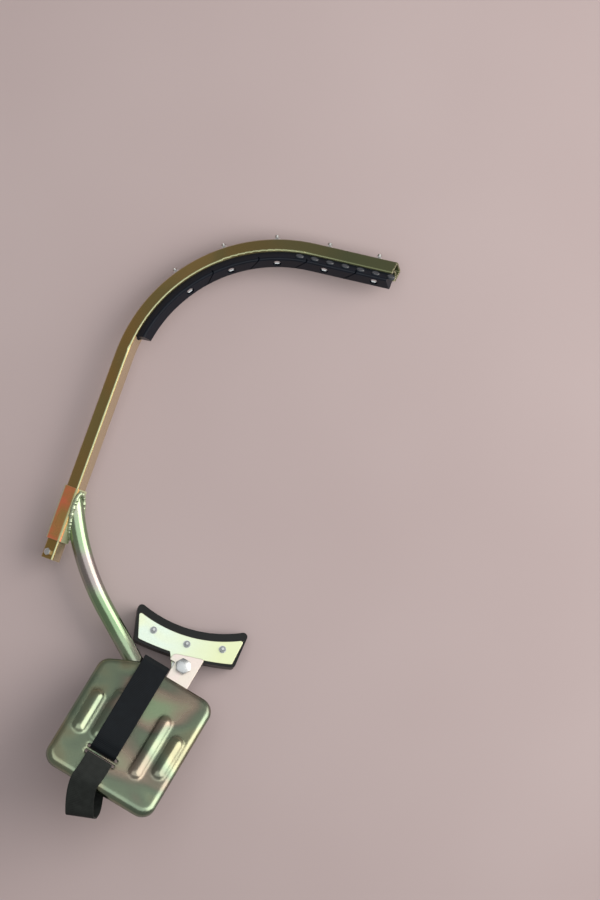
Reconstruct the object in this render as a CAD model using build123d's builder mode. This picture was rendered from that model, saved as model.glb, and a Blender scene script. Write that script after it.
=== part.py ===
from build123d import *
import math
import os

# Strap-on climber for round poles, lying flat as it rests on a floor.
# A square hook tube slides in a sleeve, a bent round tube joins the sleeve to the foot plate,
# and a rubber-faced bumper swivels on a bolt at the plate's front.
# While modelling, the leg's centre line is the Y axis, +X is the pole's side and +Z is up.
# All lengths are in millimetres and all angles in degrees.

# Hook tube
hook_side = 18.0
hook_wall = 2.0
hook_corner = 2.5
hook_roll = 34.0
leg_tail = 24.0
leg_above_sleeve = 169.0
hook_bend_radius = 195.0
bare_bend_angle = 9.2
lined_bend_angle = 73.8
hook_tip = 107.0
hook_end_slope = 22.0
trough_radius = 6.5

# Rubber lining of the hook
lining_height = 12.5
lining_face = 20.0
lining_edge = 2.5
lining_lead = 4.0
lining_end_gap = 2.0
lining_end_slope = 18.0
slit_width = 1.2
slit_depth = 5.0
slit_slant = 38.0

# Lining screws
lining_screw_count = 5
lining_screw_pitch = 61.0
lining_screw_from_tip = 29.0
lining_screw = 5.0
lining_screw_head = 9.5
lining_screw_head_height = 3.0
lining_head_depth = 1.5
lining_nut_across = 8.0
lining_nut_height = 4.0
lining_washer = 10.0
lining_washer_thickness = 1.0
lining_thread_end = 4.5
thread_end = 2.0
head_rounding = 0.8

# Stop bolt near the leg's end
stop_bolt = 5.0
stop_from_end = 8.0
stop_head_across = 8.0
stop_head_height = 3.5
stop_nut_height = 4.0

# Sleeve
sleeve_length = 67.0
sleeve_wall = 2.0
slide_clearance = 0.3

# Foot tube
foot_tube_diameter = 22.0
foot_tube_wall = 2.5
foot_tube_seat_up = 34.5
foot_tube_face_shift = -4.0
foot_tube_heading = -63.0
foot_bend_radius = 310.0
foot_bend_angle = 22.0
foot_tube_level_run = 8.0
foot_rise_radius = 270.0
foot_tube_under_plate = 112.0

# Foot plate
plate_heading = -11.0
plate_tilt = 25.0
plate_width = 148.0
plate_length = 173.0
plate_sheet = 2.5
plate_skirt = 12.0
plate_edge = 7.0
plate_corner = 18.0
plate_cut_across = 42.0
plate_cut_back = 22.0
tube_entry_across = -38.3
tube_entry_ahead = -1.0
rib_radius = 12.5
rib_height = 4.0
long_rib_across = 31.0
long_rib_length = 100.0
short_rib_across = 55.0
short_rib_length = 70.0
rib_shift_back = 6.0
slot_length = 41.0
slot_width = 5.0
slot_bar = 3.0
slot_bar_back = 47.6
rib_slot_gap = 4.0

# Webbing
strap_width = 34.0
strap_thickness = 2.0
strap_across = -14.0
strap_clearance = 0.8
strap_lift = 2.0
strap_fold = 4.0
strap_nose = 8.0
strap_sweep = 60.0
strap_drape = 18.0
instep_arch = 13.0
instep_heel_ramp = 34.0
instep_toe_ramp = 42.0
instep_return = 30.0
instep_stand_off = 3.5
heel_shoulder = 4.0
heel_reach = 31.0
heel_drop = 46.0
heel_corner = 10.0
heel_under = 16.0

# Pivot of the bumper
pivot_across = 15.0
pivot_ahead = 20.0
pivot_tilt = 12.0
pivot_drop = 8.5
pivot_bolt = 10.0
pivot_head_across = 17.0
pivot_head_height = 6.5
pivot_nut_height = 10.0
pivot_washer = 24.0
pivot_washer_thickness = 2.0
thrust_washer = 26.0
thrust_washer_thickness = 1.6
pivot_bush = 14.0
bolt_clearance = 0.1
running_clearance = 0.06
axial_play = 0.1

# Lug that carries the pivot
lug_width = 36.0
lug_thickness = 5.0
lug_front_left = 8.5
lug_front_right = 21.0
lug_corner_left = 7.0
lug_corner_right = 2.5
lug_waist = 7.0

# Bumper
bumper_rest_angle = 15.5
bumper_thickness = 4.0
bumper_pole_radius = 150.0
bumper_rubber_front = 48.0
bumper_rim_front = 9.5
bumper_rim_side = 4.0
bumper_rim_back = 3.0
bumper_half_width = 65.5
bumper_back_half_width = 58.5
bumper_band = 24.0
bumper_back_rise = 5.5
bumper_shift = -2.2
bumper_corner = 2.5
bumper_rubber_corner = 5.0
bumper_stem_width = 43.0
bumper_stem_shoulder = 20.0
bumper_stem_end = 13.5
bumper_rubber_depth = 14.0
bumper_rim_drop = 0.6
bumper_rubber_relief = 14.0
bumper_screw_pitch = 43.0
bumper_screw_from_edge = 9.5
bumper_screw = 4.0
bumper_screw_head = 8.0
bumper_screw_head_height = 2.6
bumper_head_depth = 5.0
bumper_nut_across = 7.0
bumper_nut_height = 3.2
bumper_washer = 9.0
bumper_washer_thickness = 0.8

# Weld beads
weld_bead = 2.2
weld_gap = 0.1
plate_weld_bead = 3.0
plate_weld_sink = 1.8
plate_weld_spread = 1.0
plate_weld_inset = 36.0
plate_weld_length = 34.0

# Directions and places worked out from the sizes above
half_hook = hook_side / 2
sleeve_inside = hook_side + 2 * slide_clearance
sleeve_outside = sleeve_inside + 2 * sleeve_wall
half_sleeve = sleeve_outside / 2
roll = math.radians(hook_roll)
lined_normal = Vector(math.cos(roll), 0, math.sin(roll))
near_normal = Vector(-math.sin(roll), 0, math.cos(roll))
bend_start = sleeve_length + leg_above_sleeve


def heading(degrees):
    """Level unit vector at an angle from +X."""
    angle = math.radians(degrees)
    return Vector(math.cos(angle), math.sin(angle), 0)


def lined_plane(point, tangent):
    """Plane on the hook's centre line: its normal leaves the lined face, its x runs along the tube."""
    inward = Vector(tangent.Y, -tangent.X, 0)
    normal = inward * math.cos(roll) + Vector(0, 0, math.sin(roll))
    return Plane(origin=point, x_dir=tangent, z_dir=normal)


def half_ball(radius, top):
    """Ball about the origin, cut off level at the given height."""
    with BuildPart() as ball:
        Sphere(radius)
        split(bisect_by=Plane.XY.offset(top), keep=Keep.BOTTOM)
    return ball.part


def hex_nut(across, height, bore):
    """Hexagonal nut standing on the XY plane, with its corners turned off at the top."""
    with BuildPart() as nut:
        with BuildSketch():
            RegularPolygon(across / 2, 6, major_radius=False)
        extrude(amount=height)
        with BuildSketch():
            Circle(across / math.sqrt(3))
        extrude(amount=height, taper=8, mode=Mode.INTERSECT)
        Hole(bore / 2)
    return nut.part


def washer(outside, thickness, bore):
    """Flat washer standing on the XY plane."""
    with BuildPart() as ring:
        with BuildSketch():
            Circle(outside / 2)
            Circle(bore / 2, mode=Mode.SUBTRACT)
        extrude(amount=thickness)
    return ring.part


def round_screw(shank, length, head, head_height):
    """Round-headed screw: the head's seat is on the XY plane and the shank points down."""
    with BuildPart() as screw:
        with BuildSketch():
            Circle(head / 2)
        extrude(amount=head_height)
        fillet(screw.edges().sort_by(Axis.Z)[-1], head_height * head_rounding)
        with BuildSketch():
            Circle(shank / 2)
        extrude(amount=-length)
    return screw.part


def hex_bolt(shank, length, across, head_height):
    """Hexagon-headed bolt: the head's seat is on the XY plane and the shank points down."""
    with BuildPart() as bolt:
        with BuildSketch():
            RegularPolygon(across / 2, 6, major_radius=False)
        extrude(amount=head_height)
        with BuildSketch():
            Circle(across / math.sqrt(3))
        extrude(amount=head_height, taper=10, mode=Mode.INTERSECT)
        with BuildSketch():
            Circle(shank / 2)
        extrude(amount=-length)
    return bolt.part


# Sleeve: a short square tube, rolled with the hook
sleeve_plane = Plane(origin=(0, 0, 0), x_dir=lined_normal, z_dir=(0, 1, 0))
with BuildPart() as sleeve:
    with BuildSketch(sleeve_plane):
        RectangleRounded(sleeve_outside, sleeve_outside, hook_corner + sleeve_wall)
        RectangleRounded(sleeve_inside, sleeve_inside, hook_corner, mode=Mode.SUBTRACT)
    extrude(amount=sleeve_length)

# Centre line of the hook: leg, the bend's bare start, its lined rest, and the tip
with BuildLine() as hook_line:
    leg = Line((0, -leg_tail), (0, bend_start))
    bare_bend = JernArc(leg @ 1, leg % 1, hook_bend_radius, -bare_bend_angle)
    bend = JernArc(bare_bend @ 1, bare_bend % 1, hook_bend_radius, -lined_bend_angle)
    tip = Line(bend @ 1, bend @ 1 + (bend % 1) * hook_tip)

with BuildLine() as trough_line:
    add(bend)
    add(tip)

# Screw places, counted back from the tip's end
trough_run = trough_line.wires()[0]
lining_planes = []
for index in range(lining_screw_count):
    from_tip = lining_screw_from_tip + index * lining_screw_pitch
    place = 1 - from_tip / trough_run.length
    lining_planes.append(lined_plane(trough_run @ place, trough_run % place))

# Places of the slits, midway between the screws
slit_planes = []
for index in range(lining_screw_count - 1):
    from_tip = lining_screw_from_tip + (index + 0.5) * lining_screw_pitch
    place = 1 - from_tip / trough_run.length
    slit_planes.append(lined_plane(trough_run @ place, trough_run % place))

# Sloping end of the tip, whose lowest corner keeps the tip's full length
end_slope = math.radians(hook_end_slope)
hook_end = Plane(
    origin=tip @ 1 - Vector(0, 0, half_hook * math.sqrt(2)),
    z_dir=(tip % 1) * math.cos(end_slope) + Vector(0, 0, math.sin(end_slope)),
)

lining_crown = half_hook + lining_height
lining_seat = lining_crown - lining_head_depth - lining_screw_head_height
trough_start = lined_plane(bend @ 0, bend % 0)
trough_nose = trough_start.offset(half_hook)
trough_section = Plane(origin=bend @ 0, x_dir=trough_start.z_dir, z_dir=bend % 0)
stop_place = leg @ 0 + Vector(0, stop_from_end, 0)
stop_plane = Plane(origin=stop_place, x_dir=(0, 1, 0), z_dir=near_normal)

# Hook tube: square along the leg, its lined wall pressed into a half-round trough beyond
with BuildPart() as hook_tube:
    with BuildSketch(Plane(origin=leg @ 0, x_dir=lined_normal, z_dir=leg % 0)):
        RectangleRounded(hook_side, hook_side, hook_corner)
        RectangleRounded(
            hook_side - 2 * hook_wall,
            hook_side - 2 * hook_wall,
            hook_corner - hook_wall,
            mode=Mode.SUBTRACT,
        )
    sweep(path=hook_line.wires()[0])
    with BuildSketch(trough_section):
        with Locations((half_hook, 0)):
            Circle(trough_radius + hook_wall)
        with Locations((half_hook - hook_wall / 2, 0)):
            Rectangle(hook_side, hook_side, align=(Align.MAX, Align.CENTER), mode=Mode.INTERSECT)
    sweep(path=trough_run)
    with Locations(trough_nose):
        add(half_ball(trough_radius + hook_wall, -hook_wall / 2))
    with BuildSketch(trough_section):
        with Locations((half_hook, 0)):
            Circle(trough_radius)
    sweep(path=trough_run, mode=Mode.SUBTRACT)
    with Locations(trough_nose):
        Sphere(trough_radius, mode=Mode.SUBTRACT)
    with Locations(*lining_planes):
        Cylinder(lining_screw / 2 + bolt_clearance, 2 * hook_side, mode=Mode.SUBTRACT)
    with Locations(stop_plane):
        Cylinder(stop_bolt / 2 + bolt_clearance, 2 * hook_side, mode=Mode.SUBTRACT)
    split(bisect_by=hook_end, keep=Keep.BOTTOM)

# Rubber lining: a root in the trough and a wider block that meets the pole
with BuildLine() as lining_line:
    lining_start = Line(bend @ 0 - (bend % 0) * lining_lead, bend @ 0)
    add(bend)
    add(tip)

end_tilt = math.radians(lining_end_slope)
lining_section = Plane(
    origin=lining_start @ 0, x_dir=trough_start.z_dir, z_dir=lining_start % 0
)
lining_end_normal = (
    lining_section.z_dir * math.cos(end_tilt) - lining_section.x_dir * math.sin(end_tilt)
)
with BuildPart() as hook_lining:
    with BuildSketch(lining_section) as block:
        with BuildLine():
            Polyline(
                (half_hook, -trough_radius),
                (lining_crown, -lining_face / 2),
                (lining_crown, lining_face / 2),
                (half_hook, trough_radius),
                close=True,
            )
        make_face()
        fillet(block.vertices().group_by(Axis.X)[-1], lining_edge)
    sweep(path=lining_line.wires()[0])
    split(
        bisect_by=Plane(
            origin=lining_section.origin + lining_section.x_dir * half_hook,
            z_dir=lining_end_normal,
        ),
        keep=Keep.TOP,
    )
    with BuildSketch(trough_section):
        with Locations((half_hook, 0)):
            Circle(trough_radius)
            Rectangle(hook_side, hook_side, align=(Align.MAX, Align.CENTER), mode=Mode.INTERSECT)
    sweep(path=trough_run)
    with Locations(trough_nose):
        add(half_ball(trough_radius, 0))
    with Locations(*lining_planes):
        Cylinder(lining_screw / 2 + bolt_clearance, 4 * hook_side, mode=Mode.SUBTRACT)
        with Locations((0, 0, lining_seat)):
            Cylinder(
                lining_screw_head / 2 + bolt_clearance,
                hook_side,
                align=(Align.CENTER, Align.CENTER, Align.MIN),
                mode=Mode.SUBTRACT,
            )
    with Locations(*slit_planes):
        with Locations(Location((0, 0, lining_crown), (0, 0, -slit_slant))):
            Box(slit_width, 2 * lining_face, 2 * slit_depth, mode=Mode.SUBTRACT)
    split(bisect_by=hook_end.offset(-lining_end_gap), keep=Keep.BOTTOM)

# Hardware of the lining
lining_nut_seat = half_hook + lining_washer_thickness
lining_screw_length = lining_seat + lining_nut_seat + lining_nut_height + lining_thread_end
lining_screw_shape = round_screw(
    lining_screw, lining_screw_length, lining_screw_head, lining_screw_head_height
)
lining_washer_shape = washer(
    lining_washer, lining_washer_thickness, lining_screw + 2 * bolt_clearance
)
lining_nut_shape = hex_nut(
    lining_nut_across, lining_nut_height, lining_screw + 2 * bolt_clearance
)

with BuildPart() as hook_screws:
    with Locations(*lining_planes):
        with Locations((0, 0, lining_seat)):
            add(lining_screw_shape)

with BuildPart() as hook_washers:
    with Locations(*lining_planes):
        with Locations((0, 0, -lining_nut_seat)):
            add(lining_washer_shape)

with BuildPart() as hook_nuts:
    with Locations(*lining_planes):
        with Locations(Location((0, 0, -lining_nut_seat), (180, 0, 0))):
            add(lining_nut_shape)

# Stop bolt through the leg's end
with BuildPart() as stop_bolt_part:
    with Locations(stop_plane):
        with Locations((0, 0, half_hook)):
            add(
                hex_bolt(
                    stop_bolt,
                    hook_side + stop_nut_height + thread_end,
                    stop_head_across,
                    stop_head_height,
                )
            )

with BuildPart() as stop_nut:
    with Locations(stop_plane):
        with Locations(Location((0, 0, -half_hook), (180, 0, 0))):
            add(hex_nut(stop_head_across, stop_nut_height, stop_bolt + 2 * bolt_clearance))

# Foot plate's axes: across the foot, towards its front, and out of the tread
tilt = math.radians(plate_tilt)
plate_across = heading(plate_heading)
plate_level_front = heading(plate_heading + 90)
plate_front = plate_level_front * math.cos(tilt) - Vector(0, 0, math.sin(tilt))
plate_normal = plate_level_front * math.sin(tilt) + Vector(0, 0, math.cos(tilt))

# Centre line of the foot tube: a level bend, a level run, and a rise to the plate's slope
tube_seat = (
    lined_normal * half_sleeve
    + near_normal * foot_tube_face_shift
    + Vector(0, foot_tube_seat_up, 0)
)
tube_run = heading(foot_tube_heading + foot_bend_angle)
rise_slope = -tube_run.dot(plate_level_front) * math.tan(tilt)
rise_angle = math.atan(rise_slope)
rise_ahead = foot_rise_radius * math.sin(rise_angle)
rise_up = foot_rise_radius * (1 - math.cos(rise_angle))
tube_under = tube_run * math.cos(rise_angle) + Vector(0, 0, math.sin(rise_angle))

with BuildLine(Plane.XY.offset(tube_seat.Z)):
    lead_in = Line(
        tuple(tube_seat - heading(foot_tube_heading) * sleeve_length)[:2], tuple(tube_seat)[:2]
    )
    level_bend = JernArc(lead_in @ 1, lead_in % 1, foot_bend_radius, foot_bend_angle)
    level_run = Line(level_bend @ 1, level_bend @ 1 + (level_bend % 1) * foot_tube_level_run)

with BuildLine() as tube_line:
    add(lead_in)
    add(level_bend)
    add(level_run)
    rise_end = level_run @ 1 + tube_run * rise_ahead + Vector(0, 0, rise_up)
    rise = TangentArc(level_run @ 1, rise_end, tangent=level_run % 1)
    Line(rise @ 1, rise @ 1 + tube_under * foot_tube_under_plate)

# Foot tube, its upper end cut to lie on the sleeve's lined side
sleeve_side = Plane(origin=lined_normal * half_sleeve, z_dir=lined_normal)
tube_radius = foot_tube_diameter / 2
tube_end = Plane(origin=tube_line.wires()[0] @ 0, z_dir=tube_line.wires()[0] % 0)
with BuildPart() as tube_core:
    with BuildSketch(tube_end):
        Circle(tube_radius)
    sweep(path=tube_line.wires()[0])
    split(bisect_by=sleeve_side, keep=Keep.TOP)

with BuildPart() as foot_tube:
    add(tube_core.part)
    with BuildSketch(tube_end):
        Circle(tube_radius - foot_tube_wall)
    sweep(path=tube_line.wires()[0], mode=Mode.SUBTRACT)

# Weld bead round the tube's cut end
with BuildPart() as sleeve_weld:
    cut_end = tube_core.faces().sort_by_distance(tube_seat)[0]
    seam = cut_end.outer_wire()
    with BuildSketch(Plane(origin=seam @ 0, z_dir=seam % 0)):
        Circle(weld_bead)
    sweep(path=seam)
    split(bisect_by=sleeve_side, keep=Keep.TOP)
    add(tube_core.part, mode=Mode.SUBTRACT)

# Foot plate's frame: the tube's top line runs along the plate's underside
tube_entry = rise @ 1
plate_centre = (
    tube_entry
    + plate_normal * (tube_radius + weld_gap + plate_sheet)
    - plate_across * tube_entry_across
    - plate_front * (plate_length / 2 + tube_entry_ahead)
)
plate_plane = Plane(origin=plate_centre, x_dir=plate_across, z_dir=plate_normal)

# Pivot's frame: on the top of the bumper's stem, sloping down to the front
pivot_slope = math.radians(pivot_tilt)
pivot_front = plate_level_front * math.cos(pivot_slope) - Vector(0, 0, math.sin(pivot_slope))
pivot_up = plate_level_front * math.sin(pivot_slope) + Vector(0, 0, math.cos(pivot_slope))
plate_nose = plate_centre + plate_across * pivot_across + plate_front * (plate_length / 2)
pivot_top = plate_nose + pivot_front * pivot_ahead - pivot_up * pivot_drop
lug_top = Plane(origin=pivot_top, x_dir=plate_across, z_dir=pivot_up)
lug_bottom = lug_top.offset(-lug_thickness)
stem_gap = thrust_washer_thickness + axial_play
stem_top = lug_bottom.offset(-stem_gap)
bumper_turn = math.radians(bumper_rest_angle)
bumper_across = plate_across * math.cos(bumper_turn) + pivot_front * math.sin(bumper_turn)
bumper_plane = Plane(origin=stem_top.origin, x_dir=bumper_across, z_dir=pivot_up)

# Lug: its back edge is coped to the foot tube, and its ear reaches out under the plate's front
# edge, cut aslant and with one corner well rounded
lug_blank = plate_length / 2
lug_cut = Plane(origin=tube_entry, z_dir=pivot_up.cross(tube_under))
with BuildPart() as bumper_lug:
    with BuildSketch(lug_bottom) as ear:
        with BuildLine():
            Polyline(
                (-lug_width / 2, -lug_blank),
                (-lug_width / 2, lug_front_left),
                (lug_width / 2, lug_front_right),
                (lug_width / 2, -lug_blank),
                close=True,
            )
        make_face()
        fillet(ear.vertices().group_by(Axis.Y)[-2], lug_corner_left)
        fillet(ear.vertices().group_by(Axis.Y)[-1], lug_corner_right)
        with Locations((-lug_width / 2, 0)):
            Rectangle(lug_waist, lug_blank, align=(Align.MIN, Align.MAX), mode=Mode.SUBTRACT)
    extrude(amount=lug_thickness)
    split(bisect_by=lug_cut, keep=Keep.TOP)
    add(tube_core.part, mode=Mode.SUBTRACT)
    with Locations(lug_bottom):
        Cylinder(pivot_bolt / 2 + bolt_clearance, 4 * lug_thickness, mode=Mode.SUBTRACT)


def rib_body(length, radius, bottom):
    """Bar along Y with a round back, a flat base at the given height and ball-shaped ends."""
    middle = rib_height - rib_radius
    half = math.sqrt(radius**2 - (bottom - middle) ** 2)
    end = length / 2 - radius
    with BuildPart() as rib:
        with BuildSketch(Plane.XZ):
            with BuildLine():
                ThreePointArc((-half, bottom), (0, middle + radius), (half, bottom))
                Line((half, bottom), (-half, bottom))
            make_face()
        extrude(amount=end, both=True)
        for place in (-end, end):
            with BuildSketch(Plane(origin=(0, place, 0), x_dir=(1, 0, 0), z_dir=(0, -1, 0))):
                with BuildLine():
                    RadiusArc((0, middle + radius), (half, bottom), radius)
                    Polyline((half, bottom), (0, bottom), (0, middle + radius))
                make_face()
            revolve(axis=Axis((0, place, 0), (0, 0, 1)), revolution_arc=360)
    return rib.part


# Foot plate: a pressed tray, open below, with four ribs and two strap slots
slot_centre_back = (slot_bar + slot_width) / 2
front_slot = -slot_bar_back + slot_centre_back
rear_slot = -slot_bar_back - slot_centre_back
long_rib_front = long_rib_length / 2 - rib_shift_back
slotted_rib_rear = front_slot + slot_width / 2 + rib_slot_gap
slotted_rib_length = long_rib_front - slotted_rib_rear
ribs = [
    (-short_rib_across, -rib_shift_back, short_rib_length),
    (-long_rib_across, slotted_rib_rear + slotted_rib_length / 2, slotted_rib_length),
    (long_rib_across, -rib_shift_back, long_rib_length),
    (short_rib_across, -rib_shift_back, short_rib_length),
]
plate_axis = Axis(plate_centre, plate_normal)
with BuildPart() as foot_plate:
    with BuildSketch(plate_plane.offset(-plate_skirt)) as outline:
        Rectangle(plate_width, plate_length)
        with BuildLine():
            Polyline(
                (-plate_width / 2, plate_length / 2),
                (-plate_width / 2, plate_length / 2 - plate_cut_back),
                (-plate_width / 2 + plate_cut_across, plate_length / 2),
                close=True,
            )
        make_face(mode=Mode.SUBTRACT)
        fillet(outline.vertices(), plate_corner)
    extrude(amount=plate_skirt)
    fillet(foot_plate.faces().sort_by(plate_axis)[-1].edges(), plate_edge)
    offset(amount=-plate_sheet, openings=foot_plate.faces().sort_by(plate_axis)[0])
    for across, ahead, length in ribs:
        with Locations(plate_plane):
            with Locations((across, ahead)):
                add(rib_body(length, rib_radius, -plate_sheet))
    for across, ahead, length in ribs:
        with Locations(plate_plane):
            with Locations((across, ahead)):
                add(
                    rib_body(length - 2 * plate_sheet, rib_radius - plate_sheet, -2 * plate_sheet),
                    mode=Mode.SUBTRACT,
                )
    with BuildSketch(plate_plane):
        with Locations((strap_across, front_slot), (strap_across, rear_slot)):
            SlotOverall(slot_length, slot_width)
    extrude(amount=plate_skirt, both=True, mode=Mode.SUBTRACT)
    add(bumper_lug.part, mode=Mode.SUBTRACT)
    add(tube_core.part, mode=Mode.SUBTRACT)

# Weld beads in the two creases between the foot tube and the plate
bead_height = tube_radius + weld_gap - plate_weld_sink
bead_reach = math.sqrt((tube_radius + plate_weld_spread) ** 2 - bead_height**2)
weld_plane = Plane(
    origin=tube_entry + tube_under * plate_weld_inset,
    x_dir=plate_normal.cross(tube_under),
    z_dir=tube_under,
)
with BuildPart() as plate_welds:
    with BuildSketch(weld_plane):
        with Locations((-bead_reach, bead_height), (bead_reach, bead_height)):
            Circle(plate_weld_bead)
    extrude(amount=plate_weld_length)
    add(tube_core.part, mode=Mode.SUBTRACT)
    add(foot_plate.part, mode=Mode.SUBTRACT)

# Webbing: both straps are loops seen edge-on in a plane along the foot
strap_plane = Plane(
    origin=plate_centre + plate_across * (strap_across - strap_width / 2),
    x_dir=plate_front,
    z_dir=plate_across,
)
tube_across_rate = tube_under.dot(plate_across)
tube_ahead_rate = tube_under.dot(plate_front)
strap_left = strap_across - strap_width / 2
tube_ahead = (
    plate_length / 2
    + tube_entry_ahead
    + (strap_left - tube_entry_across) * tube_ahead_rate / tube_across_rate
)
strap_wrap = strap_clearance + strap_thickness
strap_top = strap_wrap + strap_lift
instep_front = tube_ahead + tube_radius / tube_across_rate + instep_stand_off + strap_wrap
instep_bottom = -(plate_sheet + weld_gap + foot_tube_diameter + strap_wrap)
instep_rear = front_slot - strap_thickness / 2
plate_rear = -plate_length / 2
heel_front = rear_slot + strap_thickness / 2

with BuildPart() as instep_strap:
    with BuildSketch(strap_plane):
        with BuildLine():
            FilletPolyline(
                (instep_rear, instep_bottom + strap_nose),
                (instep_rear, strap_top),
                (instep_rear + instep_heel_ramp, instep_arch),
                (plate_length / 2 - instep_toe_ramp, instep_arch),
                (plate_length / 2, strap_top),
                (instep_front, -strap_nose),
                (instep_front, instep_bottom + strap_nose),
                (instep_front - strap_nose, instep_bottom),
                (plate_length / 2 - instep_return, instep_bottom),
                radius=[
                    strap_fold,
                    strap_fold,
                    strap_sweep,
                    strap_sweep,
                    strap_nose,
                    strap_nose,
                    strap_nose,
                    strap_nose,
                    strap_sweep,
                ],
                close=True,
            )
        make_face()
        offset(amount=-strap_thickness, mode=Mode.SUBTRACT)
    extrude(amount=strap_width)

with BuildPart() as heel_strap:
    with BuildSketch(strap_plane):
        with BuildLine():
            FilletPolyline(
                (heel_front, -heel_under),
                (heel_front, strap_top),
                (plate_rear + heel_shoulder, strap_top),
                (plate_rear - heel_reach, -heel_drop / 2),
                (plate_rear - heel_reach + heel_corner, -heel_drop),
                (plate_rear - heel_corner, -heel_drop),
                radius=[
                    strap_fold,
                    strap_fold,
                    strap_drape,
                    heel_corner,
                    strap_nose,
                    strap_drape,
                ],
                close=True,
            )
        make_face()
        offset(amount=-strap_thickness, mode=Mode.SUBTRACT)
    extrude(amount=strap_width)

# Bumper: a T-shaped steel plate in a rubber pad that is hollowed to the pole
pole_middle = bumper_rubber_front + bumper_pole_radius
steel_front = bumper_pole_radius + bumper_rim_front
steel_back = steel_front + bumper_band
stem_length = pole_middle - steel_front - bumper_band / 2


def round_pole(radius, across):
    """Point on a circle about the pole's middle, in the bumper's own plane."""
    return (across, pole_middle - math.sqrt(radius**2 - across**2))


def bumper_band_face(front, back, front_half, back_half, corner):
    """Band behind an arc about the pole's middle, narrower and flatter at its back."""
    back_middle = pole_middle - back
    back_end = back_middle + bumper_back_rise
    with BuildSketch() as band:
        with BuildLine():
            front_arc = ThreePointArc(
                round_pole(front, -front_half), round_pole(front, 0), round_pole(front, front_half)
            )
            back_arc = ThreePointArc(
                (-back_half, back_end), (0, back_middle), (back_half, back_end)
            )
            Line(front_arc @ 0, back_arc @ 0)
            Line(front_arc @ 1, back_arc @ 1)
        make_face()
        fillet(band.vertices(), corner)
    return band.sketch


screw_ring = steel_front + bumper_screw_from_edge
bumper_screw_row = [-bumper_screw_pitch, 0, bumper_screw_pitch]
bumper_screw_places = [
    (bumper_shift + across, round_pole(screw_ring, across)[1]) for across in bumper_screw_row
]
bumper_screw_bore = bumper_screw / 2 + bolt_clearance

with BuildPart() as bumper_plate:
    with BuildSketch(bumper_plane):
        with Locations((bumper_shift, 0)):
            add(
                bumper_band_face(
                    steel_front,
                    steel_back,
                    bumper_half_width,
                    bumper_back_half_width,
                    bumper_corner,
                )
            )
        with BuildLine():
            Polyline(
                (-bumper_stem_end, 0),
                (-bumper_stem_width / 2, bumper_stem_shoulder),
                (-bumper_stem_width / 2, stem_length),
                (bumper_stem_width / 2, stem_length),
                (bumper_stem_width / 2, bumper_stem_shoulder),
                (bumper_stem_end, 0),
                close=True,
            )
        make_face()
        Circle(bumper_stem_end)
    extrude(amount=-bumper_thickness)
    with Locations(bumper_plane):
        Cylinder(pivot_bush / 2 + running_clearance, 4 * bumper_thickness, mode=Mode.SUBTRACT)
        with Locations(*bumper_screw_places):
            Cylinder(bumper_screw_bore, 4 * bumper_thickness, mode=Mode.SUBTRACT)

rubber_bottom = bumper_thickness + bumper_rubber_depth
bumper_head_seat = rubber_bottom - bumper_head_depth - bumper_screw_head_height
with BuildPart() as bumper_rubber:
    with BuildSketch(bumper_plane.offset(-bumper_rim_drop)):
        with Locations((bumper_shift, 0)):
            add(
                bumper_band_face(
                    bumper_pole_radius,
                    steel_back + bumper_rim_back,
                    bumper_half_width + bumper_rim_side,
                    bumper_back_half_width + bumper_rim_side,
                    bumper_rubber_corner,
                )
            )
    extrude(amount=bumper_rim_drop - rubber_bottom)
    add(bumper_plate.part, mode=Mode.SUBTRACT)
    with Locations(bumper_plane):
        Cylinder(bumper_rubber_relief, 4 * rubber_bottom, mode=Mode.SUBTRACT)
        with Locations(*bumper_screw_places):
            Cylinder(bumper_screw_bore, 4 * rubber_bottom, mode=Mode.SUBTRACT)
        with Locations(*[(x, y, -bumper_head_seat) for x, y in bumper_screw_places]):
            Cylinder(
                bumper_screw_head / 2 + bolt_clearance,
                rubber_bottom,
                align=(Align.CENTER, Align.CENTER, Align.MAX),
                mode=Mode.SUBTRACT,
            )

# Hardware of the bumper
bumper_screw_length = (
    bumper_head_seat + bumper_washer_thickness + bumper_nut_height + thread_end / 2
)
bumper_screw_shape = round_screw(
    bumper_screw, bumper_screw_length, bumper_screw_head, bumper_screw_head_height
)
with BuildPart() as bumper_screws:
    with Locations(bumper_plane):
        with Locations(*bumper_screw_places):
            with Locations(Location((0, 0, -bumper_head_seat), (180, 0, 0))):
                add(bumper_screw_shape)

with BuildPart() as bumper_washers:
    with Locations(bumper_plane):
        with Locations(*bumper_screw_places):
            add(washer(bumper_washer, bumper_washer_thickness, 2 * bumper_screw_bore))

with BuildPart() as bumper_nuts:
    with Locations(bumper_plane):
        with Locations(*[(x, y, bumper_washer_thickness) for x, y in bumper_screw_places]):
            add(hex_nut(bumper_nut_across, bumper_nut_height, 2 * bumper_screw_bore))

# Pivot: a bolt clamps a bush between the lug and a washer, and the stem turns on the bush
bush_length = stem_gap + bumper_thickness + axial_play
nut_washer_top = lug_thickness + bush_length
pivot_nut_top = nut_washer_top + pivot_washer_thickness
pivot_bolt_length = pivot_nut_top + pivot_nut_height + thread_end
bolt_bore = pivot_bolt + 2 * bolt_clearance
with BuildPart() as pivot_bolt_part:
    with Locations(lug_top):
        add(hex_bolt(pivot_bolt, pivot_bolt_length, pivot_head_across, pivot_head_height))

with BuildPart() as pivot_bush_part:
    with Locations(lug_bottom.offset(-bush_length)):
        add(washer(pivot_bush, bush_length, bolt_bore))

with BuildPart() as thrust_washer_part:
    with Locations(lug_bottom.offset(-thrust_washer_thickness)):
        add(washer(thrust_washer, thrust_washer_thickness, pivot_bush + 2 * bolt_clearance))

with BuildPart() as pivot_washer_part:
    with Locations(lug_top.offset(-pivot_nut_top)):
        add(washer(pivot_washer, pivot_washer_thickness, bolt_bore))

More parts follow.
